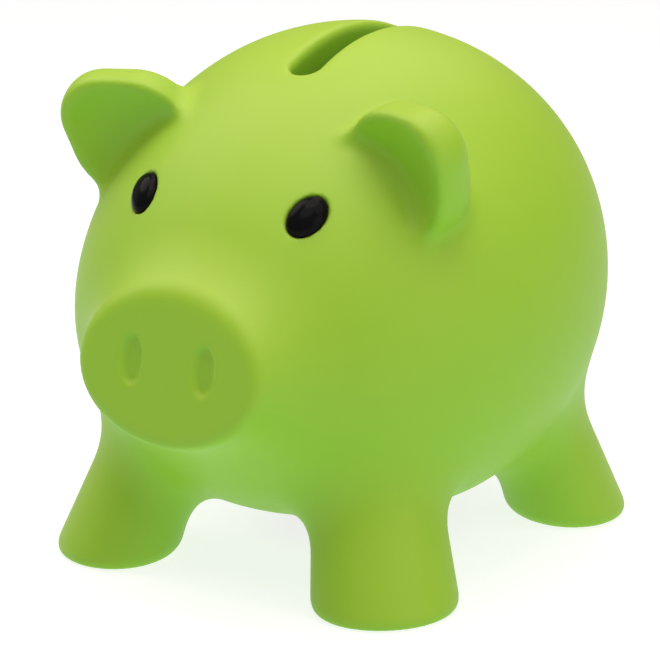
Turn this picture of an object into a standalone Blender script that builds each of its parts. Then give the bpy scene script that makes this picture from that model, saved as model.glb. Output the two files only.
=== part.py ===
"""A soft PVC piggy bank.

One hollow moulding makes the body, head, snout, ears, legs and tail. It has a coin slot in the back
and a round hole in the belly. Two glossy eyes sit in shallow pockets, and a belly stopper pushes
into the hole and pulls straight down out of it.

Metres, +Z up. The pig looks along -Y and stands with its soles on z = 0. The origin is under the
middle of the whole pig. The body and head are ellipsoids, the snout and legs are cones and the ears
are egg-shaped lobes, all blended into one another with soft fillets, as the modeller of the mould
would do in clay. That blended form is one formula, skin_gap. Primitives block the form out, a voxel
remesh joins them, and each vertex then settles onto the formula.
"""

import math

import bmesh
import bpy
import numpy as np
from mathutils import Matrix, Vector

# Moulding
WALL = 0.003

# Body and head, two ellipsoids
BODY_CENTRE = (0, 0.0062, 0.0470)
BODY_RADII = (0.0425, 0.0447, 0.0413)
HEAD_CENTRE = (0, -0.0070, 0.0395)
HEAD_RADII = (0.0366, 0.0385, 0.0275)
HEAD_FILLET = 0.0180
BELLY_HEIGHT = 0.008
BELLY_FILLET = 0.005

# Snout, an oval cone along Y, cut flat at its face
SNOUT_FACE_Y = -0.0501
SNOUT_CENTRE_Z = 0.0412
SNOUT_RADII = (0.0171, 0.0119)
SNOUT_LENGTH = 0.030
SNOUT_RISE = -0.019
SNOUT_FLARE = 5.5
SNOUT_LEAN = -0.160
SNOUT_RIM = 0.0021
SNOUT_FILLET = 0.0091
NOSTRIL_X = 0.0069
NOSTRIL_Z = 0.0424
NOSTRIL_RADII = (0.0016, 0.0040)
NOSTRIL_DEPTH = 0.0014

# Legs, oval cones from the sole to the hip
HIP_HEIGHT = 0.030
FRONT_FOOT = (0.0271, -0.0281)
FRONT_HIP = (0.0189, -0.0199)
REAR_FOOT = (0.0289, 0.0312)
REAR_HIP = (0.0237, 0.0201)
FOOT_RADIUS = 0.0116
HIP_RADIUS = 0.0089
LEG_OVAL = 0.07
LEG_OVAL_TURN = 0.90
SOLE_TRIM = 0.004
FLOOR_BLOCK = 0.120
LEG_FILLET = 0.0080

# Ears, egg-shaped lobes with a hollowed front
EAR_BASE = (0.0251, -0.0241, 0.0700)
EAR_YAW = -0.668
EAR_PITCH = 0.587
EAR_ROLL = 0.010
EAR_LENGTH = 0.0059
EAR_BASE_RADIUS = 0.0110
EAR_TIP_RADIUS = 0.0075
EAR_THICKNESS = 0.0101
EAR_FRONT_LEAN = -0.108
EAR_RIM = 0.0026
EAR_BACK_ROUNDING = 0.006
EAR_HOLLOW_RADII = (0.0104, 0.0138, 0.0044)
EAR_HOLLOW_CENTRE = (-0.0007, -0.0010, 0.0012)
EAR_HOLLOW_EDGE = 0.0014
EAR_FILLET = 0.0030

# Tail, one flat curl lying on the rump
TAIL_HEIGHT = 0.052
TAIL_OUTER_RADIUS = 0.0075
TAIL_INNER_RADIUS = 0.0030
TAIL_TURNS = 1.0
TAIL_CORD_RADIUS = 0.0018
TAIL_LIFT = 0.0006
TAIL_FILLET = 0.0012

# Coin slot along the back, a little to the pig's left of the middle, with a rib round it inside
SLOT_X = 0.0018
SLOT_WIDTH = 0.005
SLOT_FRONT_Y = -0.0143
SLOT_REAR_Y = 0.0237
SLOT_FLOOR = 0.070
SLOT_TOP = 0.100
RIB_WIDTH = 0.0025
RIB_BOTTOM = 0.0785

# Eyes, oval buttons sunk into the skin
EYE_CENTRE = (0.0157, -0.0333, 0.0650)
EYE_RADII = (0.00276, 0.00389, 0.0016)
EYE_SINK = 0.0003
EYE_LEAN = -0.665
FIT_GAP = 0.0003

# Belly stopper and its seat
PLUG_Y = 0.0065
COLLAR_RADIUS = 0.0195
COLLAR_TOP = 0.013
HOLE_RADIUS = 0.013
HOLE_TOP = 0.020
SEAT_RADIUS = 0.0162
SEAT_DEPTH = 0.0019
FLANGE_RADIUS = 0.0158
FLANGE_THICKNESS = 0.0016
FLANGE_CHAMFER = 0.0004
PLUG_WALL = 0.0016
PLUG_TOP = 0.0142
CUP_CHAMFER = 0.0008
THUMB_GROOVE_DEPTH = 0.0007
THUMB_GROOVE_RADIUS = 0.0081
THUMB_GROOVE_SLOPE = 0.001

# Mesh sizes
SKIN_VOXEL = 0.0007
CAVITY_VOXEL = 0.0026
SKIN_KEEP = 0.038
CAVITY_KEEP = 0.17
TURN_STEPS = 32
SHARP_ANGLE = math.radians(45)

# Colours, linear RGB
LIME = (0.31, 0.55, 0.03, 1.0)
BLACK = (0.008, 0.008, 0.009, 1.0)
DARK_PLUG = (0.02, 0.02, 0.022, 1.0)


def clear_scene():
    for obj in list(bpy.data.objects):
        bpy.data.objects.remove(obj, do_unlink=True)


def finish_material(name, colour, roughness):
    material = bpy.data.materials.new(name)
    material.use_nodes = True
    shader = material.node_tree.nodes["Principled BSDF"]
    shader.inputs["Base Color"].default_value = colour
    shader.inputs["Roughness"].default_value = roughness
    shader.inputs["Metallic"].default_value = 0.0
    material.diffuse_color = colour
    return material


# The blended form. Each function gives how far points are outside a shape, in metres.


def soft_min(a, b, fillet):
    """The nearer of two shapes, with a fillet of this size where they meet."""
    share = np.clip(0.5 + 0.5 * (b - a) / fillet, 0, 1)
    return b + (a - b) * share - fillet * share * (1 - share)


def soft_max(a, b, rounding):
    """What two shapes have in common, with the edge between them rounded."""
    return -soft_min(-a, -b, rounding)


def ellipsoid_gap(points, centre, radii):
    offset = points - np.array(centre)
    radii = np.array(radii)
    size = np.linalg.norm(offset / radii, axis=-1)
    return size * (size - 1) / (np.linalg.norm(offset / radii**2, axis=-1) + 1e-6)


def oval_gap(across, along, radii):
    """Distance from an oval in a plane, whose radii may change from point to point."""
    size = np.hypot(across / radii[0], along / radii[1]) + 1e-9
    return size * (size - 1) / np.hypot(across / radii[0] ** 2, along / radii[1] ** 2)


def on_left_side(points):
    """The same points, with those right of the middle mirrored to the left, which is +X."""
    return np.column_stack((np.abs(points[:, 0]), points[:, 1], points[:, 2]))


def torso_gap(points):
    body = ellipsoid_gap(points, BODY_CENTRE, BODY_RADII)
    head = ellipsoid_gap(points, HEAD_CENTRE, HEAD_RADII)
    return soft_max(soft_min(body, head, HEAD_FILLET), BELLY_HEIGHT - points[:, 2], BELLY_FILLET)


def snout_gap(points):
    behind_face = points[:, 1] - SNOUT_FACE_Y
    flare = 1 + SNOUT_FLARE * behind_face
    height = points[:, 2] - SNOUT_CENTRE_Z - SNOUT_RISE * behind_face
    cone = oval_gap(points[:, 0], height, (SNOUT_RADII[0] * flare, SNOUT_RADII[1] * flare))
    return np.maximum(cone, behind_face - SNOUT_LENGTH)


def snout_face_gap(points):
    behind_face = points[:, 1] - SNOUT_FACE_Y
    height = points[:, 2] - SNOUT_CENTRE_Z
    return -behind_face * math.cos(SNOUT_LEAN) - height * math.sin(SNOUT_LEAN)


def leg_gap(points, foot, hip, turn):
    """An oval cone on the side of +X. Its axis leans from below the sole up to the hip."""
    rise = points[:, 2] / HIP_HEIGHT
    x = points[:, 0] - foot[0] - (hip[0] - foot[0]) * rise
    y = points[:, 1] - foot[1] - (hip[1] - foot[1]) * rise
    radius = FOOT_RADIUS + (HIP_RADIUS - FOOT_RADIUS) * rise
    across = x * math.cos(turn) + y * math.sin(turn)
    along = y * math.cos(turn) - x * math.sin(turn)
    cone = oval_gap(across, along, (radius * (1 + LEG_OVAL), radius * (1 - LEG_OVAL)))
    return np.maximum(cone, np.maximum(-points[:, 2] - SOLE_TRIM, points[:, 2] - HIP_HEIGHT))


def ear_axes():
    """The ear's own axes: across, from base to tip, and out of its front."""
    tip = Vector((math.cos(EAR_PITCH) * math.cos(EAR_YAW),
                  math.cos(EAR_PITCH) * math.sin(EAR_YAW),
                  math.sin(EAR_PITCH)))
    ahead = Vector((0, -1, 0))
    front = (ahead - tip * ahead.dot(tip)).normalized()
    front = front * math.cos(EAR_ROLL) + tip.cross(front) * math.sin(EAR_ROLL)
    return np.array([tip.cross(front), tip, front])


def egg_gap(across, along):
    """Distance from the ear's outline: a big circle and a small one, joined by their tangents."""
    across = np.abs(across)
    slope = (EAR_BASE_RADIUS - EAR_TIP_RADIUS) / EAR_LENGTH
    level = math.sqrt(1 - slope**2)
    side = across * level + along * slope - EAR_BASE_RADIUS
    base = np.hypot(across, along) - EAR_BASE_RADIUS
    tip = np.hypot(across, along - EAR_LENGTH) - EAR_TIP_RADIUS
    place = along * level - across * slope
    return np.where(place < 0, base, np.where(place > level * EAR_LENGTH, tip, side))


def ear_gap(points):
    """The ear on the side of +X."""
    local = (points - np.array(EAR_BASE)) @ ear_axes().T
    ahead = local[:, 2] - EAR_FRONT_LEAN * local[:, 1]
    lobe = soft_max(egg_gap(local[:, 0], local[:, 1]), ahead, EAR_RIM)
    lobe = soft_max(lobe, -local[:, 2] - EAR_THICKNESS, EAR_BACK_ROUNDING)
    in_front = np.column_stack((local[:, 0], local[:, 1], ahead))
    hollow = ellipsoid_gap(in_front, EAR_HOLLOW_CENTRE, EAR_HOLLOW_RADII)
    return soft_max(lobe, -hollow, EAR_HOLLOW_EDGE)


def tail_points():
    """The curl's centre line, winding in as it stands off the rump."""
    points = []
    for i in range(33):
        part = i / 32
        radius = TAIL_OUTER_RADIUS + (TAIL_INNER_RADIUS - TAIL_OUTER_RADIUS) * part
        angle = -math.pi / 2 + TAIL_TURNS * 2 * math.pi * part
        x = radius * math.cos(angle)
        z = TAIL_HEIGHT + radius * math.sin(angle)
        drop = (x / BODY_RADII[0]) ** 2 + ((z - BODY_CENTRE[2]) / BODY_RADII[2]) ** 2
        rump_y = BODY_CENTRE[1] + BODY_RADII[1] * math.sqrt(1 - drop)
        points.append((x, rump_y + TAIL_LIFT * (2 * part - 1), z))
    return np.array(points)


def tail_gap(points):
    nearest = np.full(len(points), 1.0)
    for joint in tail_points():
        nearest = np.minimum(nearest, np.linalg.norm(points - joint, axis=1))
    return nearest - TAIL_CORD_RADIUS


def trunk_gap(points):
    """Body, head, snout and legs: the parts of the pig that are hollow inside."""
    left = on_left_side(points)
    gap = soft_min(torso_gap(points), snout_gap(points), SNOUT_FILLET)
    gap = soft_max(gap, snout_face_gap(points), SNOUT_RIM)
    front_leg = leg_gap(left, FRONT_FOOT, FRONT_HIP, LEG_OVAL_TURN)
    rear_leg = leg_gap(left, REAR_FOOT, REAR_HIP, -LEG_OVAL_TURN)
    return soft_min(soft_min(gap, front_leg, LEG_FILLET), rear_leg, LEG_FILLET)


def skin_gap(points):
    """The whole outside of the pig, ears and tail included."""
    gap = soft_min(trunk_gap(points), ear_gap(on_left_side(points)), EAR_FILLET)
    return soft_min(gap, tail_gap(points), TAIL_FILLET)


def cavity_gap(points):
    """The hollow inside, one wall in from the trunk and from the soles."""
    return np.maximum(trunk_gap(points), -points[:, 2]) + WALL


# Mesh work


def new_object(name, mesh, material=None):
    obj = bpy.data.objects.new(name, mesh)
    bpy.context.scene.collection.objects.link(obj)
    if material:
        mesh.materials.append(material)
    return obj


def add_ball(bm, centre, radii):
    place = Matrix.LocRotScale(Vector(centre), None, Vector(radii))
    bmesh.ops.create_uvsphere(bm, u_segments=32, v_segments=16, radius=1, matrix=place)


def add_cone(bm, start, end, start_radius, end_radius):
    """A closed cone between two points."""
    start, end = Vector(start), Vector(end)
    turn = (end - start).to_track_quat("Z", "Y")
    place = Matrix.LocRotScale((start + end) / 2, turn, None)
    bmesh.ops.create_cone(bm, cap_ends=True, segments=32, radius1=start_radius,
                          radius2=end_radius, depth=(end - start).length, matrix=place)


def add_ear(bm, side):
    """The hull of two flattened balls, one at the ear's base and one at its tip."""
    across, tip, front = (Vector(axis) for axis in ear_axes())
    turn = Matrix((across, tip, front)).transposed().to_4x4()
    lobe = bmesh.new()
    for distance, radius in ((0, EAR_BASE_RADIUS), (EAR_LENGTH, EAR_TIP_RADIUS)):
        centre = Vector(EAR_BASE) + tip * distance - front * EAR_THICKNESS / 2
        flat = Matrix.Diagonal((radius, radius, EAR_THICKNESS / 2, 1))
        place = Matrix.Diagonal((side, 1, 1, 1)) @ Matrix.Translation(centre) @ turn @ flat
        bmesh.ops.create_icosphere(lobe, subdivisions=3, radius=1, matrix=place)
    bmesh.ops.delete(lobe, geom=lobe.faces[:], context="FACES_ONLY")
    hull = bmesh.ops.convex_hull(lobe, input=lobe.verts[:])
    inner = [v for v in hull["geom_interior"] if isinstance(v, bmesh.types.BMVert)]
    bmesh.ops.delete(lobe, geom=inner, context="VERTS")
    mesh = bpy.data.meshes.new("ear")
    lobe.to_mesh(mesh)
    lobe.free()
    bm.from_mesh(mesh)


def block_out(name, outside):
    """The pig in primitives that run into one another. Only its outside has ears and a tail."""
    bm = bmesh.new()
    add_ball(bm, BODY_CENTRE, BODY_RADII)
    add_ball(bm, HEAD_CENTRE, HEAD_RADII)
    snout_start = (0, SNOUT_FACE_Y, SNOUT_CENTRE_Z)
    snout_end = (0, SNOUT_FACE_Y + SNOUT_LENGTH, SNOUT_CENTRE_Z)
    add_cone(bm, snout_start, snout_end, SNOUT_RADII[1], SNOUT_RADII[1])
    for side in (-1, 1):
        for foot, hip in ((FRONT_FOOT, FRONT_HIP), (REAR_FOOT, REAR_HIP)):
            add_cone(bm, (side * foot[0], foot[1], -SOLE_TRIM),
                     (side * hip[0], hip[1], HIP_HEIGHT), FOOT_RADIUS, HIP_RADIUS)
        if outside:
            add_ear(bm, side)
    if outside:
        for joint in tail_points():
            add_ball(bm, joint, [TAIL_CORD_RADIUS] * 3)
    bmesh.ops.recalc_face_normals(bm, faces=bm.faces)
    mesh = bpy.data.meshes.new(name)
    bm.to_mesh(mesh)
    bm.free()
    return new_object(name, mesh)


def apply_modifiers(obj):
    graph = bpy.context.evaluated_depsgraph_get()
    mesh = bpy.data.meshes.new_from_object(obj.evaluated_get(graph))
    obj.modifiers.clear()
    obj.data = mesh


def vertices_of(mesh):
    points = np.empty(len(mesh.vertices) * 3)
    mesh.vertices.foreach_get("co", points)
    return points.reshape(-1, 3)


def remesh(obj, voxel):
    joined = obj.modifiers.new("join", "REMESH")
    joined.mode = "VOXEL"
    joined.voxel_size = voxel
    apply_modifiers(obj)


def thin_out(obj, keep):
    """Fewer triangles, most of them where the surface bends."""
    thinned = obj.modifiers.new("thin_out", "DECIMATE")
    thinned.ratio = keep
    apply_modifiers(obj)


def slope_of(gap, points):
    """How the gap grows along X, Y and Z, by central differences."""
    reach = 2e-5
    slope = np.empty_like(points)
    for axis in range(3):
        step = np.zeros(3)
        step[axis] = reach
        slope[:, axis] = (gap(points + step) - gap(points - step)) / (2 * reach)
    return slope


def settle(obj, gap, rounds, most):
    """Moves each vertex onto the zero of the gap, by at most this much in one round."""
    mesh = obj.data
    points = vertices_of(mesh)
    for _ in range(rounds):
        slope = slope_of(gap, points)
        move = slope * (gap(points) / ((slope**2).sum(axis=1) + 1e-3))[:, None]
        length = np.linalg.norm(move, axis=1, keepdims=True)
        points = points - move * np.minimum(1, most / np.maximum(length, 1e-9))
    mesh.vertices.foreach_set("co", points.ravel())
    mesh.update()


def smooth(obj, rounds):
    bm = bmesh.new()
    bm.from_mesh(obj.data)
    for _ in range(rounds):
        bmesh.ops.smooth_vert(bm, verts=bm.verts, factor=0.5, use_axis_x=True,
                              use_axis_y=True, use_axis_z=True)
    bm.to_mesh(obj.data)
    bm.free()


def moulded_form(name, gap, voxel, keep, outside):
    obj = block_out(name, outside)
    remesh(obj, voxel)
    for _ in range(3):
        settle(obj, gap, 3, voxel)
        smooth(obj, 1)
    settle(obj, gap, 4, voxel)
    thin_out(obj, keep)
    settle(obj, gap, 3, voxel / 4)
    return obj


def shade_round(obj):
    """Smooth shading, with an edge left sharp where the faces turn by more than this angle."""
    obj.data.shade_smooth()
    obj.data.set_sharp_from_angle(angle=SHARP_ANGLE)


def hide_cutter(obj):
    obj.hide_render = True
    obj.display_type = "WIRE"


def cut(obj, cutter):
    boolean = obj.modifiers.new(cutter.name, "BOOLEAN")
    boolean.operation = "DIFFERENCE"
    boolean.solver = "EXACT"
    boolean.object = cutter
    hide_cutter(cutter)


def turned(name, profile, material=None):
    """A body turned about Z from a closed profile of (radius, height) points."""
    bm = bmesh.new()
    ring = [bm.verts.new((radius, 0, height)) for radius, height in profile]
    edges = [bm.edges.new((a, b)) for a, b in zip(ring, ring[1:])]
    bmesh.ops.spin(bm, geom=ring + edges, axis=(0, 0, 1), cent=(0, 0, 0), angle=2 * math.pi,
                   steps=TURN_STEPS, use_merge=True)
    bmesh.ops.remove_doubles(bm, verts=bm.verts, dist=1e-6)
    bmesh.ops.recalc_face_normals(bm, faces=bm.faces)
    mesh = bpy.data.meshes.new(name)
    bm.to_mesh(mesh)
    bm.free()
    return new_object(name, mesh, material)


def slot_bar(name, grow, bottom):
    """An upright bar with round ends, the slot's own outline grown by this much."""
    bm = bmesh.new()
    radius = SLOT_WIDTH / 2
    outline = []
    for end_y, start in ((SLOT_REAR_Y - radius, 0), (SLOT_FRONT_Y + radius, math.pi)):
        for i in range(9):
            angle = start + math.pi * i / 8
            x = SLOT_X + (radius + grow) * math.cos(angle)
            y = end_y + (radius + grow) * math.sin(angle)
            outline.append(bm.verts.new((x, y, bottom)))
    face = bm.faces.new(outline)
    raised = bmesh.ops.extrude_face_region(bm, geom=[face])["geom"]
    top = [v for v in raised if isinstance(v, bmesh.types.BMVert)]
    bmesh.ops.translate(bm, verts=top, vec=(0, 0, SLOT_TOP - bottom))
    bmesh.ops.recalc_face_normals(bm, faces=bm.faces)
    mesh = bpy.data.meshes.new(name)
    bm.to_mesh(mesh)
    bm.free()
    return new_object(name, mesh)


def eye_place(side):
    """Where an eye sits, with its own Z out of the skin and its own Y up the face."""
    centre = np.array([EYE_CENTRE])
    outward = Vector(slope_of(trunk_gap, centre)[0]).normalized()
    up = (Vector((0, 0, 1)) - outward * outward.z).normalized()
    up.rotate(Matrix.Rotation(EYE_LEAN, 3, outward))
    axes = Matrix((up.cross(outward), up, outward)).transposed()
    on_skin = Vector(EYE_CENTRE) - outward * float(trunk_gap(centre)[0])
    place = Matrix.Translation(on_skin - outward * EYE_SINK) @ axes.to_4x4()
    if side < 0:
        mirror = Matrix.Diagonal((-1, 1, 1, 1))
        place = mirror @ place @ mirror
    return place


def eye_button(name, side, grow, material=None):
    bm = bmesh.new()
    radii = [radius + grow for radius in EYE_RADII]
    bmesh.ops.create_uvsphere(bm, u_segments=20, v_segments=10, radius=1,
                              matrix=Matrix.Diagonal((*radii, 1)))
    mesh = bpy.data.meshes.new(name)
    bm.to_mesh(mesh)
    bm.free()
    mesh.shade_smooth()
    obj = new_object(name, mesh, material)
    obj.matrix_world = eye_place(side)
    return obj


def nostril_cutter(side):
    """A long oval ball whose lower part dips into the snout's face."""
    name = "nostril_cutter_" + ("left" if side > 0 else "right")
    bm = bmesh.new()
    depth = 2 * NOSTRIL_DEPTH
    radii = (NOSTRIL_RADII[0], depth, NOSTRIL_RADII[1], 1)
    bmesh.ops.create_uvsphere(bm, u_segments=16, v_segments=10, radius=1,
                              matrix=Matrix.Diagonal(radii))
    mesh = bpy.data.meshes.new(name)
    bm.to_mesh(mesh)
    bm.free()
    obj = new_object(name, mesh)
    lean = (NOSTRIL_Z - SNOUT_CENTRE_Z) * math.tan(SNOUT_LEAN)
    obj.location = (side * NOSTRIL_X, SNOUT_FACE_Y - lean - depth + NOSTRIL_DEPTH, NOSTRIL_Z)
    return obj


def floor_cutter():
    """A block under z = 0 that trims the four soles level."""
    bm = bmesh.new()
    bmesh.ops.create_cube(bm, size=FLOOR_BLOCK)
    mesh = bpy.data.meshes.new("floor_cutter")
    bm.to_mesh(mesh)
    bm.free()
    block = new_object("floor_cutter", mesh)
    block.location = (0, 0, -FLOOR_BLOCK / 2)
    return block


def build_body(material):
    skin = moulded_form("body_shell", skin_gap, SKIN_VOXEL, SKIN_KEEP, True)
    skin.data.materials.clear()
    skin.data.materials.append(material)
    cut(skin, floor_cutter())
    cavity = moulded_form("cavity_cutter", cavity_gap, CAVITY_VOXEL, CAVITY_KEEP, False)
    collar = turned("collar", [(0, 0), (COLLAR_RADIUS, 0), (COLLAR_RADIUS, COLLAR_TOP),
                               (0, COLLAR_TOP)])
    collar.location = (0, PLUG_Y, 0)
    cut(cavity, collar)
    cut(cavity, slot_bar("slot_rib", RIB_WIDTH, RIB_BOTTOM))
    seat_top = BELLY_HEIGHT + SEAT_DEPTH
    seat = turned("plug_seat_cutter", [(0, 0), (SEAT_RADIUS, 0), (SEAT_RADIUS, seat_top),
                                       (HOLE_RADIUS, seat_top), (HOLE_RADIUS, HOLE_TOP),
                                       (0, HOLE_TOP)])
    seat.location = (0, PLUG_Y, 0)
    cut(skin, cavity)
    cut(skin, seat)
    cut(skin, slot_bar("slot_cutter", 0, SLOT_FLOOR))
    for side, word in ((1, "left"), (-1, "right")):
        cut(skin, eye_button("eye_pocket_" + word, side, FIT_GAP))
        cut(skin, nostril_cutter(side))
    apply_modifiers(skin)
    shade_round(skin)
    return skin


def build_stopper(material):
    """A cup with a flange. The flange lies in the belly's seat, and the cup fills the hole."""
    bottom = BELLY_HEIGHT + SEAT_DEPTH - FIT_GAP - FLANGE_THICKNESS
    shoulder = bottom + FLANGE_THICKNESS
    outer = HOLE_RADIUS - FIT_GAP
    inner = outer - PLUG_WALL
    floor = shoulder + PLUG_WALL / 2
    groove_top = bottom + THUMB_GROOVE_DEPTH
    profile = [(0, groove_top), (THUMB_GROOVE_RADIUS - THUMB_GROOVE_SLOPE, groove_top),
               (THUMB_GROOVE_RADIUS, bottom), (FLANGE_RADIUS - FLANGE_CHAMFER, bottom),
               (FLANGE_RADIUS, bottom + FLANGE_CHAMFER), (FLANGE_RADIUS, shoulder),
               (outer, shoulder), (outer, PLUG_TOP - CUP_CHAMFER),
               (outer - CUP_CHAMFER, PLUG_TOP), (inner, PLUG_TOP), (inner, floor), (0, floor)]
    stopper = turned("belly_stopper", [(r, z - bottom) for r, z in profile], material)
    shade_round(stopper)
    stopper.location = (0, PLUG_Y, bottom)
    return stopper


clear_scene()
lime_pvc = finish_material("lime_pvc", LIME, 0.55)
black_gloss = finish_material("black_gloss", BLACK, 0.12)
plug_pvc = finish_material("plug_pvc", DARK_PLUG, 0.5)
build_body(lime_pvc)
for side, word in ((1, "left"), (-1, "right")):
    eye_button("eye_" + word, side, 0, black_gloss)
build_stopper(plug_pvc)
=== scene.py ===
"""A soft PVC piggy bank on a pale studio floor.

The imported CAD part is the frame. The pig's moulding, its two eyes and its belly stopper are each
made again here with a finer surface and a finish of their own, in the order they go together.
"""

import math

import bmesh
import bpy
import numpy as np
from mathutils import Matrix, Vector


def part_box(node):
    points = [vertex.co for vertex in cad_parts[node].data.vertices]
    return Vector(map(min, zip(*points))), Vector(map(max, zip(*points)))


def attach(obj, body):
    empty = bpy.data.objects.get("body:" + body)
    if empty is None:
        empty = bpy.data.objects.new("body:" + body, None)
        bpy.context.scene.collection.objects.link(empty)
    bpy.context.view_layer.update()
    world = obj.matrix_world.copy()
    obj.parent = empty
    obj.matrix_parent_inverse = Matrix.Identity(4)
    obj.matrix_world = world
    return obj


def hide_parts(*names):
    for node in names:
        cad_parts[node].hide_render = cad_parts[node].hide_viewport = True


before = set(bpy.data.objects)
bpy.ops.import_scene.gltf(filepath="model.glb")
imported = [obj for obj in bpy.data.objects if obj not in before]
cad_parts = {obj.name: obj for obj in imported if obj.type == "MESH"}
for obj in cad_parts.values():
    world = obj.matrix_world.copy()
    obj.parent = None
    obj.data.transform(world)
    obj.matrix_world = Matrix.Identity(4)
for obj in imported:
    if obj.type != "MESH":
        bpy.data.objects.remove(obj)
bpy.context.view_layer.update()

# ---------------------------------------------------------------------------------------------
# The pig. One hollow moulding of soft PVC, 3 mm thick: body, head, snout, ears, legs and curl of
# a tail. It is cast in one mould, so every part runs into the next with a fillet, and its lips
# and soles are rounded. The sizes are the CAD part's own.
# ---------------------------------------------------------------------------------------------


def soft_min(a, b, fillet):
    """The nearer of two shapes, with a fillet of this size where they meet."""
    share = np.clip(0.5 + 0.5 * (b - a) / fillet, 0, 1)
    return b + (a - b) * share - fillet * share * (1 - share)


def soft_max(a, b, rounding):
    """What two shapes have in common, with the edge between them rounded."""
    return -soft_min(-a, -b, rounding)


def ellipsoid_gap(points, centre, radii):
    offset = points - np.array(centre)
    radii = np.array(radii)
    size = np.linalg.norm(offset / radii, axis=-1)
    return size * (size - 1) / (np.linalg.norm(offset / radii**2, axis=-1) + 1e-6)


def oval_gap(across, along, radii):
    """Distance from an oval in a plane, whose radii may change from point to point."""
    size = np.hypot(across / radii[0], along / radii[1]) + 1e-9
    return size * (size - 1) / np.hypot(across / radii[0] ** 2, along / radii[1] ** 2)


def on_left_side(points):
    """The same points, with those right of the middle mirrored to the left, which is +X."""
    return np.column_stack((np.abs(points[:, 0]), points[:, 1], points[:, 2]))


# Body and head: two ellipsoids blended into one, with the belly cut flat.
BODY_CENTRE = (0, 0.0062, 0.0470)
BODY_RADII = (0.0425, 0.0447, 0.0413)
HEAD_CENTRE = (0, -0.0070, 0.0395)
HEAD_RADII = (0.0366, 0.0385, 0.0275)
HEAD_FILLET = 0.0180
BELLY_HEIGHT = 0.008
BELLY_FILLET = 0.005


def torso_gap(points):
    body = ellipsoid_gap(points, BODY_CENTRE, BODY_RADII)
    head = ellipsoid_gap(points, HEAD_CENTRE, HEAD_RADII)
    return soft_max(soft_min(body, head, HEAD_FILLET), BELLY_HEIGHT - points[:, 2], BELLY_FILLET)


# Snout: an oval cone along Y, wider towards the head and cut flat at its face.
SNOUT_FACE_Y = -0.0501
SNOUT_CENTRE_Z = 0.0412
SNOUT_RADII = (0.0171, 0.0119)
SNOUT_LENGTH = 0.030
SNOUT_RISE = -0.019
SNOUT_FLARE = 5.5
SNOUT_LEAN = -0.160
SNOUT_RIM = 0.0018
SNOUT_FILLET = 0.0091


def snout_gap(points):
    behind_face = points[:, 1] - SNOUT_FACE_Y
    flare = 1 + SNOUT_FLARE * behind_face
    height = points[:, 2] - SNOUT_CENTRE_Z - SNOUT_RISE * behind_face
    cone = oval_gap(points[:, 0], height, (SNOUT_RADII[0] * flare, SNOUT_RADII[1] * flare))
    return np.maximum(cone, behind_face - SNOUT_LENGTH)


def snout_face_gap(points):
    behind_face = points[:, 1] - SNOUT_FACE_Y
    height = points[:, 2] - SNOUT_CENTRE_Z
    return -behind_face * math.cos(SNOUT_LEAN) - height * math.sin(SNOUT_LEAN)


# Legs: oval cones that lean from the soles in to the hips.
HIP_HEIGHT = 0.030
FRONT_FOOT = (0.0271, -0.0281)
FRONT_HIP = (0.0189, -0.0199)
REAR_FOOT = (0.0289, 0.0312)
REAR_HIP = (0.0237, 0.0201)
FOOT_RADIUS = 0.0116
HIP_RADIUS = 0.0089
LEG_OVAL = 0.07
LEG_OVAL_TURN = 0.90
SOLE_TRIM = 0.004
LEG_FILLET = 0.0080


def leg_gap(points, foot, hip, turn):
    """An oval cone on the side of +X. Its axis leans from below the sole up to the hip."""
    rise = points[:, 2] / HIP_HEIGHT
    x = points[:, 0] - foot[0] - (hip[0] - foot[0]) * rise
    y = points[:, 1] - foot[1] - (hip[1] - foot[1]) * rise
    radius = FOOT_RADIUS + (HIP_RADIUS - FOOT_RADIUS) * rise
    across = x * math.cos(turn) + y * math.sin(turn)
    along = y * math.cos(turn) - x * math.sin(turn)
    cone = oval_gap(across, along, (radius * (1 + LEG_OVAL), radius * (1 - LEG_OVAL)))
    return np.maximum(cone, np.maximum(-points[:, 2] - SOLE_TRIM, points[:, 2] - HIP_HEIGHT))


# Ears: egg-shaped lobes with a hollowed front.
EAR_BASE = (0.0251, -0.0241, 0.0700)
EAR_YAW = -0.668
EAR_PITCH = 0.587
EAR_ROLL = 0.010
EAR_LENGTH = 0.0059
EAR_BASE_RADIUS = 0.0110
EAR_TIP_RADIUS = 0.0075
EAR_THICKNESS = 0.0101
EAR_FRONT_LEAN = -0.108
EAR_RIM = 0.0026
EAR_BACK_ROUNDING = 0.006
EAR_HOLLOW_RADII = (0.0104, 0.0138, 0.0044)
EAR_HOLLOW_CENTRE = (-0.0007, -0.0010, 0.0012)
EAR_HOLLOW_EDGE = 0.0014
EAR_FILLET = 0.0030


def ear_axes():
    """The ear's own axes: across, from base to tip, and out of its front."""
    tip = Vector((math.cos(EAR_PITCH) * math.cos(EAR_YAW),
                  math.cos(EAR_PITCH) * math.sin(EAR_YAW),
                  math.sin(EAR_PITCH)))
    ahead = Vector((0, -1, 0))
    front = (ahead - tip * ahead.dot(tip)).normalized()
    front = front * math.cos(EAR_ROLL) + tip.cross(front) * math.sin(EAR_ROLL)
    return np.array([tip.cross(front), tip, front])


def egg_gap(across, along):
    """Distance from the ear's outline: a big circle and a small one, joined by their tangents."""
    across = np.abs(across)
    slope = (EAR_BASE_RADIUS - EAR_TIP_RADIUS) / EAR_LENGTH
    level = math.sqrt(1 - slope**2)
    side = across * level + along * slope - EAR_BASE_RADIUS
    base = np.hypot(across, along) - EAR_BASE_RADIUS
    tip = np.hypot(across, along - EAR_LENGTH) - EAR_TIP_RADIUS
    place = along * level - across * slope
    return np.where(place < 0, base, np.where(place > level * EAR_LENGTH, tip, side))


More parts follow.
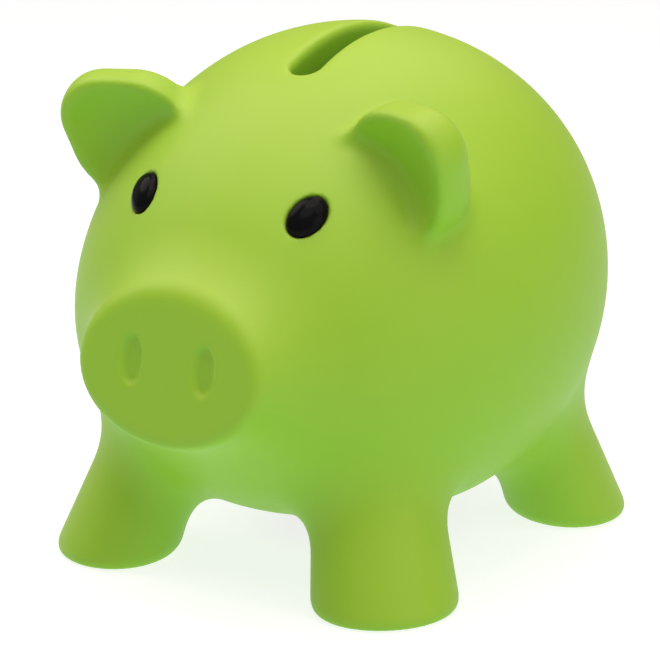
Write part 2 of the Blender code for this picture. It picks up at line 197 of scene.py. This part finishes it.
def ear_gap(points):
    """The ear on the side of +X."""
    local = (points - np.array(EAR_BASE)) @ ear_axes().T
    ahead = local[:, 2] - EAR_FRONT_LEAN * local[:, 1]
    lobe = soft_max(egg_gap(local[:, 0], local[:, 1]), ahead, EAR_RIM)
    lobe = soft_max(lobe, -local[:, 2] - EAR_THICKNESS, EAR_BACK_ROUNDING)
    in_front = np.column_stack((local[:, 0], local[:, 1], ahead))
    hollow = ellipsoid_gap(in_front, EAR_HOLLOW_CENTRE, EAR_HOLLOW_RADII)
    return soft_max(lobe, -hollow, EAR_HOLLOW_EDGE)


# Tail: one flat curl lying on the rump.
TAIL_HEIGHT = 0.052
TAIL_OUTER_RADIUS = 0.0075
TAIL_INNER_RADIUS = 0.0030
TAIL_TURNS = 1.0
TAIL_CORD_RADIUS = 0.0018
TAIL_LIFT = 0.0006
TAIL_FILLET = 0.0012
TAIL_STEPS = 48
TAIL_REACH = 0.014
FAR = 0.01


def tail_points():
    """The curl's centre line, winding in as it stands off the rump."""
    points = []
    for i in range(TAIL_STEPS + 1):
        part = i / TAIL_STEPS
        radius = TAIL_OUTER_RADIUS + (TAIL_INNER_RADIUS - TAIL_OUTER_RADIUS) * part
        angle = -math.pi / 2 + TAIL_TURNS * 2 * math.pi * part
        x = radius * math.cos(angle)
        z = TAIL_HEIGHT + radius * math.sin(angle)
        drop = (x / BODY_RADII[0]) ** 2 + ((z - BODY_CENTRE[2]) / BODY_RADII[2]) ** 2
        rump_y = BODY_CENTRE[1] + BODY_RADII[1] * math.sqrt(1 - drop)
        points.append((x, rump_y + TAIL_LIFT * (2 * part - 1), z))
    return np.array(points)


def tail_gap(points):
    """Distance from the tail's cord, worked out only for points near the rump."""
    gap = np.full(len(points), FAR)
    line = tail_points()
    near = np.linalg.norm(points - line.mean(axis=0), axis=1) < TAIL_REACH
    nearest = np.full(near.sum(), FAR)
    for start, end in zip(line, line[1:]):
        along = end - start
        share = np.clip((points[near] - start) @ along / (along @ along), 0, 1)
        reach = np.linalg.norm(points[near] - start - share[:, None] * along, axis=1)
        nearest = np.minimum(nearest, reach)
    gap[near] = nearest - TAIL_CORD_RADIUS
    return gap


def trunk_gap(points):
    """Body, head, snout and legs: the parts of the pig that are hollow inside."""
    left = on_left_side(points)
    gap = soft_min(torso_gap(points), snout_gap(points), SNOUT_FILLET)
    gap = soft_max(gap, snout_face_gap(points), SNOUT_RIM)
    front_leg = leg_gap(left, FRONT_FOOT, FRONT_HIP, LEG_OVAL_TURN)
    rear_leg = leg_gap(left, REAR_FOOT, REAR_HIP, -LEG_OVAL_TURN)
    return soft_min(soft_min(gap, front_leg, LEG_FILLET), rear_leg, LEG_FILLET)


def slope_of(gap, points):
    """How the gap grows along X, Y and Z, by central differences."""
    reach = 2e-5
    slope = np.empty_like(points)
    for axis in range(3):
        step = np.zeros(3)
        step[axis] = reach
        slope[:, axis] = (gap(points + step) - gap(points - step)) / (2 * reach)
    return slope


# Eye pockets: shallow ovals that the eyes are pressed into.
EYE_CENTRE = (0.0157, -0.0333, 0.0650)
EYE_RADII = (0.00276, 0.00389, 0.0016)
EYE_SINK = 0.0003
EYE_LEAN = -0.665


def eye_place():
    """Where the eye on the side of +X sits, with its own Z out of the skin and Y up the face."""
    centre = np.array([EYE_CENTRE])
    outward = Vector(slope_of(trunk_gap, centre)[0]).normalized()
    up = (Vector((0, 0, 1)) - outward * outward.z).normalized()
    up.rotate(Matrix.Rotation(EYE_LEAN, 3, outward))
    axes = Matrix((up.cross(outward), up, outward)).transposed()
    on_skin = Vector(EYE_CENTRE) - outward * float(trunk_gap(centre)[0])
    return Matrix.Translation(on_skin - outward * EYE_SINK) @ axes.to_4x4()


EYE_CLEARANCE = 0.00012
POCKET_EDGE = 0.0004
EYE_IN = np.array(eye_place().inverted())


def eye_pocket_gap(left):
    local = left @ EYE_IN[:3, :3].T + EYE_IN[:3, 3]
    return ellipsoid_gap(local, (0, 0, 0), [radius + EYE_CLEARANCE for radius in EYE_RADII])


# Nostrils: two shallow recesses in the face of the snout.
NOSTRIL_X = 0.0069
NOSTRIL_Z = 0.0424
NOSTRIL_RADII = (0.0018, 0.0037)
NOSTRIL_DEPTH = 0.0009
NOSTRIL_EDGE = 0.0010


def nostril_gap(left):
    """A long oval sunk to a level floor a little behind the snout's face."""
    outline = oval_gap(left[:, 0] - NOSTRIL_X, left[:, 2] - NOSTRIL_Z, NOSTRIL_RADII)
    return soft_max(outline, -snout_face_gap(left) - NOSTRIL_DEPTH, NOSTRIL_DEPTH)


# Coin slot along the back, a little to the pig's left of the middle.
SLOT_X = 0.0018
SLOT_WIDTH = 0.005
SLOT_FRONT_Y = -0.0143
SLOT_REAR_Y = 0.0237
SLOT_FLOOR = 0.070
SLOT_LIP = 0.0018


def slot_gap(points):
    """A bar with round ends, from above the back down into the hollow."""
    middle = (SLOT_FRONT_Y + SLOT_REAR_Y) / 2
    straight = (SLOT_REAR_Y - SLOT_FRONT_Y - SLOT_WIDTH) / 2
    past_end = np.maximum(np.abs(points[:, 1] - middle) - straight, 0)
    wall = np.hypot(points[:, 0] - SLOT_X, past_end) - SLOT_WIDTH / 2
    return np.maximum(wall, SLOT_FLOOR - points[:, 2])


# The stopper's hole in the belly, with a seat for its flange.
PLUG_Y = 0.0065
HOLE_RADIUS = 0.013
HOLE_TOP = 0.020
SEAT_RADIUS = 0.0162
SEAT_DEPTH = 0.0019
SEAT_EDGE = 0.0006


def seat_gap(points):
    """The stopper's hole, with a wider step at its mouth for the flange."""
    reach = np.hypot(points[:, 0], points[:, 1] - PLUG_Y)
    step = np.maximum(reach - SEAT_RADIUS, points[:, 2] - BELLY_HEIGHT - SEAT_DEPTH)
    return np.minimum(step, np.maximum(reach - HOLE_RADIUS, points[:, 2] - HOLE_TOP))


# The wall, and where it is thicker: a collar round the hole and a rib round the slot.
WALL = 0.003
COLLAR_RADIUS = 0.0195
COLLAR_TOP = 0.013
RIB_WIDTH = 0.0025
RIB_BOTTOM = 0.0785


def hollow_gap(points):
    """The inside, one wall in from the trunk, less a collar round the hole and a slot's rib."""
    inside = np.maximum(trunk_gap(points), -points[:, 2]) + WALL
    reach = np.hypot(points[:, 0], points[:, 1] - PLUG_Y)
    collar = np.maximum(reach - COLLAR_RADIUS, points[:, 2] - COLLAR_TOP)
    rib = np.maximum(slot_gap(points) - RIB_WIDTH, RIB_BOTTOM - points[:, 2])
    return np.maximum(inside, -np.minimum(collar, rib))


SOLE_ROUNDING = 0.0026


def outside_gap(points):
    """The pig's outer skin, with its nostrils and its rounded soles."""
    left = on_left_side(points)
    gap = soft_min(trunk_gap(points), ear_gap(left), EAR_FILLET)
    gap = soft_min(gap, tail_gap(points), TAIL_FILLET)
    gap = soft_max(gap, -nostril_gap(left), NOSTRIL_EDGE)
    return soft_max(gap, -points[:, 2], SOLE_ROUNDING)


INNER_EDGE = 0.0010


def moulding_gap(points):
    """The whole moulding: its skin less the hollow, the slot, the seat and the eye pockets."""
    gap = soft_max(outside_gap(points), -hollow_gap(points), INNER_EDGE)
    gap = soft_max(gap, -slot_gap(points), SLOT_LIP)
    gap = soft_max(gap, -seat_gap(points), SEAT_EDGE)
    return soft_max(gap, -eye_pocket_gap(on_left_side(points)), POCKET_EDGE)


def vertices_of(mesh):
    points = np.empty(len(mesh.vertices) * 3)
    mesh.vertices.foreach_get("co", points)
    return points.reshape(-1, 3)


def settle(mesh, gap, rounds, most):
    """Moves each vertex onto the zero of the gap, by at most this much in one round."""
    points = vertices_of(mesh)
    for _ in range(rounds):
        slope = slope_of(gap, points)
        move = slope * (gap(points) / ((slope**2).sum(axis=1) + 1e-3))[:, None]
        length = np.linalg.norm(move, axis=1, keepdims=True)
        points = points - move * np.minimum(1, most / np.maximum(length, 1e-9))
    mesh.vertices.foreach_set("co", points.ravel())
    mesh.update()


def relax(mesh, rounds):
    bm = bmesh.new()
    bm.from_mesh(mesh)
    for _ in range(rounds):
        bmesh.ops.smooth_vert(bm, verts=bm.verts, factor=0.5, use_axis_x=True,
                              use_axis_y=True, use_axis_z=True)
    bm.to_mesh(mesh)
    bm.free()


def refine(mesh, wanted):
    """Halves the edges whose two ends are both wanted."""
    bm = bmesh.new()
    bm.from_mesh(mesh)
    edges = [e for e in bm.edges if wanted[e.verts[0].index] and wanted[e.verts[1].index]]
    bmesh.ops.subdivide_edges(bm, edges=edges, cuts=1, use_grid_fill=True)
    many_sided = [face for face in bm.faces if len(face.verts) > 4]
    bmesh.ops.triangulate(bm, faces=many_sided)
    bm.to_mesh(mesh)
    bm.free()


def applied(obj):
    """The object's mesh with its modifiers worked in."""
    graph = bpy.context.evaluated_depsgraph_get()
    mesh = bpy.data.meshes.new_from_object(obj.evaluated_get(graph))
    obj.modifiers.clear()
    obj.data = mesh
    return mesh


# The CAD moulding is given an even, fine mesh, which settles onto the form above. Its lips,
# nostrils, pockets and tail then get a finer mesh still.
SKIN_VOXEL = 0.0008
SETTLE_ROUNDS = 3
MOST_MOVE = 0.0004
EDGE_REACH = 0.0011

pig = bpy.data.objects.new("pig_moulding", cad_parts["body_shell"].data.copy())
bpy.context.scene.collection.objects.link(pig)
skin = pig.modifiers.new("skin", "REMESH")
skin.mode = "VOXEL"
skin.voxel_size = SKIN_VOXEL
pig_mesh = applied(pig)
for _ in range(SETTLE_ROUNDS):
    settle(pig_mesh, moulding_gap, 2, MOST_MOVE)
    relax(pig_mesh, 1)
settle(pig_mesh, moulding_gap, 3, MOST_MOVE)

places = vertices_of(pig_mesh)
to_slot = np.abs(slot_gap(places)) < 2 * EDGE_REACH
to_seat = np.abs(seat_gap(places)) < EDGE_REACH
to_pocket = eye_pocket_gap(on_left_side(places)) < 2 * EDGE_REACH
to_nostril = nostril_gap(on_left_side(places)) < 2 * EDGE_REACH
to_tail = tail_gap(places) < EDGE_REACH
outside = np.abs(outside_gap(places)) < EDGE_REACH
refine(pig_mesh, to_seat | to_slot | (outside & (to_pocket | to_nostril | to_tail)))
relax(pig_mesh, 1)
settle(pig_mesh, moulding_gap, 3, MOST_MOVE / 2)
relax(pig_mesh, 1)
settle(pig_mesh, moulding_gap, 3, MOST_MOVE / 2)
pig_mesh.shade_smooth()


class Value:
    """One output of a shader node, which sums and products can be written with."""

    def __init__(self, finish, socket):
        self.finish = finish
        self.socket = socket

    def maths(self, operation, first, second):
        return self.finish.node("ShaderNodeMath", {"operation": operation}, {0: first, 1: second})

    def __add__(self, other):
        return self.maths("ADD", self, other)

    def __radd__(self, other):
        return self.maths("ADD", other, self)

    def __rmul__(self, other):
        return self.maths("MULTIPLY", other, self)


class Finish:
    """A material, and the one way to add nodes to it."""

    def __init__(self, name):
        self.material = bpy.data.materials.new(name)
        self.material.use_nodes = True
        self.tree = self.material.node_tree
        self.surface = self.tree.nodes["Principled BSDF"]

    def node(self, kind, settings=None, sockets=None, output=0):
        node = self.tree.nodes.new(kind)
        for name, value in (settings or {}).items():
            setattr(node, name, value)
        self.fill(node, sockets or {})
        return Value(self, node.outputs[output])

    def fill(self, node, sockets):
        for name, value in sockets.items():
            if isinstance(value, Value):
                self.tree.links.new(value.socket, node.inputs[name])
            else:
                node.inputs[name].default_value = value

    def place(self):
        return self.node("ShaderNodeTexCoord", output="Object")

    def noise(self, scale, detail, place):
        return self.node("ShaderNodeTexNoise", {}, {"Vector": place, "Scale": scale,
                                                    "Detail": detail}, "Fac")

    def mix(self, share, first, second):
        return self.node("ShaderNodeMix", {"data_type": "RGBA"},
                         {"Factor": share, "A": first, "B": second}, "Result")


# The PVC is dyed through, with the satin of a bead-blasted mould: a stipple too fine to feel. Its
# colour is paler in random clouds, and is painted paler still where it faces up, as painted top
# light.
LIME = (0.246, 0.545, 0.0210, 1)
# The paler lime serves both the random clouds and the painted top light on up-facing faces.
LIME_PALE_AND_PAINTED_TOP_LIGHT = (0.400, 0.552, 0.0480, 1)
STIPPLE_SCALE = 2600
CLOUD_SCALE = 55
lime = Finish("lime_soft_pvc")
place = lime.place()
stipple = lime.noise(STIPPLE_SCALE, 2, place)
cloud = lime.noise(CLOUD_SCALE, 3, place)
# How far each face points up: this sets the share of painted top light in the base colour.
normal = lime.node("ShaderNodeNewGeometry", output="Normal")
painted_top_light_share = lime.node("ShaderNodeVectorMath", {"operation": "DOT_PRODUCT"},
                   {0: normal, 1: (0, 0, 1)}, "Value")
lime.fill(lime.surface, {
    "Base Color": lime.mix(0.12 + 0.20 * cloud + 0.55 * painted_top_light_share, LIME, LIME_PALE_AND_PAINTED_TOP_LIGHT),
    "Roughness": 0.44 + 0.10 * cloud + 0.06 * stipple,
    "Specular IOR Level": 0.38,
    "Sheen Weight": 0.07,
    "Sheen Roughness": 0.4,
    "Sheen Tint": (0.95, 1, 0.7, 1),
    "Normal": lime.node("ShaderNodeBump", {}, {"Strength": 0.25, "Distance": 0.00004,
                                               "Height": stipple}, "Normal"),
})
pig_mesh.materials.clear()
pig_mesh.materials.append(lime.material)
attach(pig, "shell")
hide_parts("body_shell")

# ---------------------------------------------------------------------------------------------
# The eyes. Two oval buttons of black gloss plastic, pressed into pockets in the face until only
# their domes stand out.
# ---------------------------------------------------------------------------------------------

EYE_BLACK = (0.006, 0.006, 0.007, 1)
RIPPLE_SCALE = 700
black = Finish("black_gloss_plastic")
place = black.place()
ripple = black.noise(RIPPLE_SCALE, 1, place)
black.fill(black.surface, {
    "Base Color": EYE_BLACK,
    "Roughness": 0.12 + 0.08 * ripple,
    "Specular IOR Level": 0.04,
    "Normal": black.node("ShaderNodeBump", {}, {"Strength": 0.1, "Distance": 0.00004,
                                                "Height": ripple}, "Normal"),
})
for side, word in ((1, "left"), (-1, "right")):
    bm = bmesh.new()
    bmesh.ops.create_uvsphere(bm, u_segments=64, v_segments=32, radius=1)
    mirror = Matrix.Diagonal((side, 1, 1, 1))
    bm.transform(mirror @ eye_place() @ Matrix.Diagonal((*EYE_RADII, 1)))
    bmesh.ops.recalc_face_normals(bm, faces=bm.faces)
    mesh = bpy.data.meshes.new("eye_button_" + word)
    bm.to_mesh(mesh)
    bm.free()
    mesh.shade_smooth()
    mesh.materials.append(black.material)
    eye = bpy.data.objects.new("eye_button_" + word, mesh)
    bpy.context.scene.collection.objects.link(eye)
    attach(eye, "shell")
    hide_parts("eye_" + word)

# ---------------------------------------------------------------------------------------------
# The belly stopper. A turned cup of firm black PVC with a flange, which pushes up into the hole
# and is held by friction. A shallow ring in its face gives a fingernail something to catch.
# ---------------------------------------------------------------------------------------------

FLANGE_RADIUS = 0.0158
FLANGE_THICKNESS = 0.0016
FLANGE_EDGE = 0.0004
CUP_RADIUS = 0.0127
CUP_WALL = 0.0016
THUMB_GROOVE_DEPTH = 0.0007
THUMB_GROOVE_INSET = 0.003
THUMB_GROOVE_SLOPE = 0.001
STOPPER_STEPS = 96
bottom, top = (corner.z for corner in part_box("belly_stopper"))
shoulder = bottom + FLANGE_THICKNESS
bore = CUP_RADIUS - CUP_WALL


def rounded(profile, size, steps=4):
    """The same profile with each inner corner turned into an arc of about this size."""
    smooth = [profile[0]]
    for before, corner, after in zip(profile, profile[1:], profile[2:]):
        before, corner, after = Vector(before), Vector(corner), Vector(after)
        cut_in = min(size, (before - corner).length / 2.2, (after - corner).length / 2.2)
        start = corner + (before - corner).normalized() * cut_in
        end = corner + (after - corner).normalized() * cut_in
        for i in range(steps + 1):
            t = i / steps
            smooth.append(start * (1 - t) ** 2 + corner * 2 * t * (1 - t) + end * t**2)
    smooth.append(profile[-1])
    return smooth


groove = bore - THUMB_GROOVE_INSET
groove_floor = bottom + THUMB_GROOVE_DEPTH
profile = [(0, groove_floor), (groove - THUMB_GROOVE_SLOPE, groove_floor), (groove, bottom),
           (FLANGE_RADIUS, bottom), (FLANGE_RADIUS, shoulder),
           (CUP_RADIUS, shoulder), (CUP_RADIUS, top), (bore, top),
           (bore, shoulder + CUP_WALL / 2), (0, shoulder + CUP_WALL / 2)]
bm = bmesh.new()
ring = [bm.verts.new((radius, 0, height)) for radius, height in rounded(profile, FLANGE_EDGE)]
edges = [bm.edges.new(pair) for pair in zip(ring, ring[1:])]
bmesh.ops.spin(bm, geom=ring + edges, axis=(0, 0, 1), cent=(0, 0, 0), angle=2 * math.pi,
               steps=STOPPER_STEPS, use_merge=True)
bmesh.ops.remove_doubles(bm, verts=bm.verts, dist=1e-6)
bmesh.ops.recalc_face_normals(bm, faces=bm.faces)
bmesh.ops.translate(bm, verts=bm.verts, vec=(0, PLUG_Y, 0))
mesh = bpy.data.meshes.new("stopper_cup")
bm.to_mesh(mesh)
bm.free()
mesh.shade_smooth()
STOPPER_BLACK = (0.018, 0.018, 0.020, 1)
STOPPER_GREY = (0.030, 0.030, 0.032, 1)
GRAIN_SCALE = 1800
SCUFF_SCALE = 160
stopper_pvc = Finish("firm_black_pvc")
place = stopper_pvc.place()
grain = stopper_pvc.noise(GRAIN_SCALE, 3, place)
scuffs = stopper_pvc.noise(SCUFF_SCALE, 4, place)
stopper_pvc.fill(stopper_pvc.surface, {
    "Base Color": stopper_pvc.mix(scuffs, STOPPER_BLACK, STOPPER_GREY),
    "Roughness": 0.42 + 0.2 * scuffs,
    "Normal": stopper_pvc.node("ShaderNodeBump", {}, {"Strength": 0.3, "Distance": 0.00005,
                                                      "Height": grain}, "Normal"),
})
mesh.materials.append(stopper_pvc.material)
stopper = bpy.data.objects.new("stopper_cup", mesh)
bpy.context.scene.collection.objects.link(stopper)
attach(stopper, "stopper")
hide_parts("belly_stopper")

# ---------------------------------------------------------------------------------------------
# The studio. A white acrylic floor lit from below, a dim surround, and a ring of soft boxes
# overhead with a weaker one on each side.
# ---------------------------------------------------------------------------------------------

FLOOR_SIZE = 6.0
FLOOR_GREY = (0.30, 0.30, 0.30, 1)
FLOOR_GLOW = 0.80
SURROUND = (0.9, 1, 1, 1)
SURROUND_STRENGTH = 0.09
floor_white = Finish("studio_floor")
floor_white.fill(floor_white.surface, {
    "Base Color": FLOOR_GREY,
    "Roughness": 0.9,
    "Specular IOR Level": 0.1,
    "Emission Color": (1, 1, 1, 1),
    "Emission Strength": FLOOR_GLOW,
})
bpy.ops.mesh.primitive_plane_add(size=FLOOR_SIZE)
floor = bpy.context.object
floor.name = "studio_floor"
floor.data.materials.append(floor_white.material)

world = bpy.data.worlds.new("studio")
world.use_nodes = True
surround = world.node_tree.nodes["Background"]
surround.inputs["Color"].default_value = SURROUND
surround.inputs["Strength"].default_value = SURROUND_STRENGTH
bpy.context.scene.world = world


def soft_box(name, place, power, colour):
    data = bpy.data.lights.new(name, "AREA")
    data.shape = "DISK"
    data.size = BOX_SIZE
    data.energy = power
    data.color = colour
    light = bpy.data.objects.new(name, data)
    light.location = place
    light.rotation_euler = (MIDDLE - Vector(place)).to_track_quat("-Z", "Y").to_euler()
    bpy.context.scene.collection.objects.link(light)


MIDDLE = Vector((0, 0, 0.045))
BOX_SIZE = 0.5
WARM = (1, 0.93, 0.86)
WARMER = (1, 0.88, 0.72)
soft_box("overhead", (0, 0, 0.75), 2.15, WARM)
soft_box("overhead_front", (0.10, -0.32, 0.70), 1.30, WARM)
soft_box("overhead_left", (-0.45, -0.05, 0.60), 2.06, WARM)
soft_box("overhead_right", (0.42, 0, 0.62), 1.24, WARM)
soft_box("overhead_back", (-0.05, 0.40, 0.62), 1.10, WARM)
soft_box("right_side", (0.72, -0.15, 0.25), 1.00, WARMER)
soft_box("left_side", (-0.72, -0.10, 0.25), 0.27, WARM)

CAMERA_AZIMUTH = 0.569
CAMERA_ELEVATION = 0.278
CAMERA_ROLL = -0.003
CAMERA_DISTANCE = 0.460
CAMERA_AIM = (0.00478, -0.00970, 0.03926)
LENS = 149.84
back = Vector((math.sin(CAMERA_AZIMUTH) * math.cos(CAMERA_ELEVATION),
               -math.cos(CAMERA_AZIMUTH) * math.cos(CAMERA_ELEVATION),
               math.sin(CAMERA_ELEVATION)))
lens = bpy.data.cameras.new("camera")
lens.lens = LENS
lens.sensor_width = 36
camera = bpy.data.objects.new("camera", lens)
camera.location = Vector(CAMERA_AIM) + back * CAMERA_DISTANCE
turn = (-back).to_track_quat("-Z", "Y") @ Matrix.Rotation(CAMERA_ROLL, 3, "Z").to_quaternion()
camera.rotation_euler = turn.to_euler()
bpy.context.scene.collection.objects.link(camera)
bpy.context.scene.camera = camera
bpy.context.scene.view_settings.view_transform = "Standard"
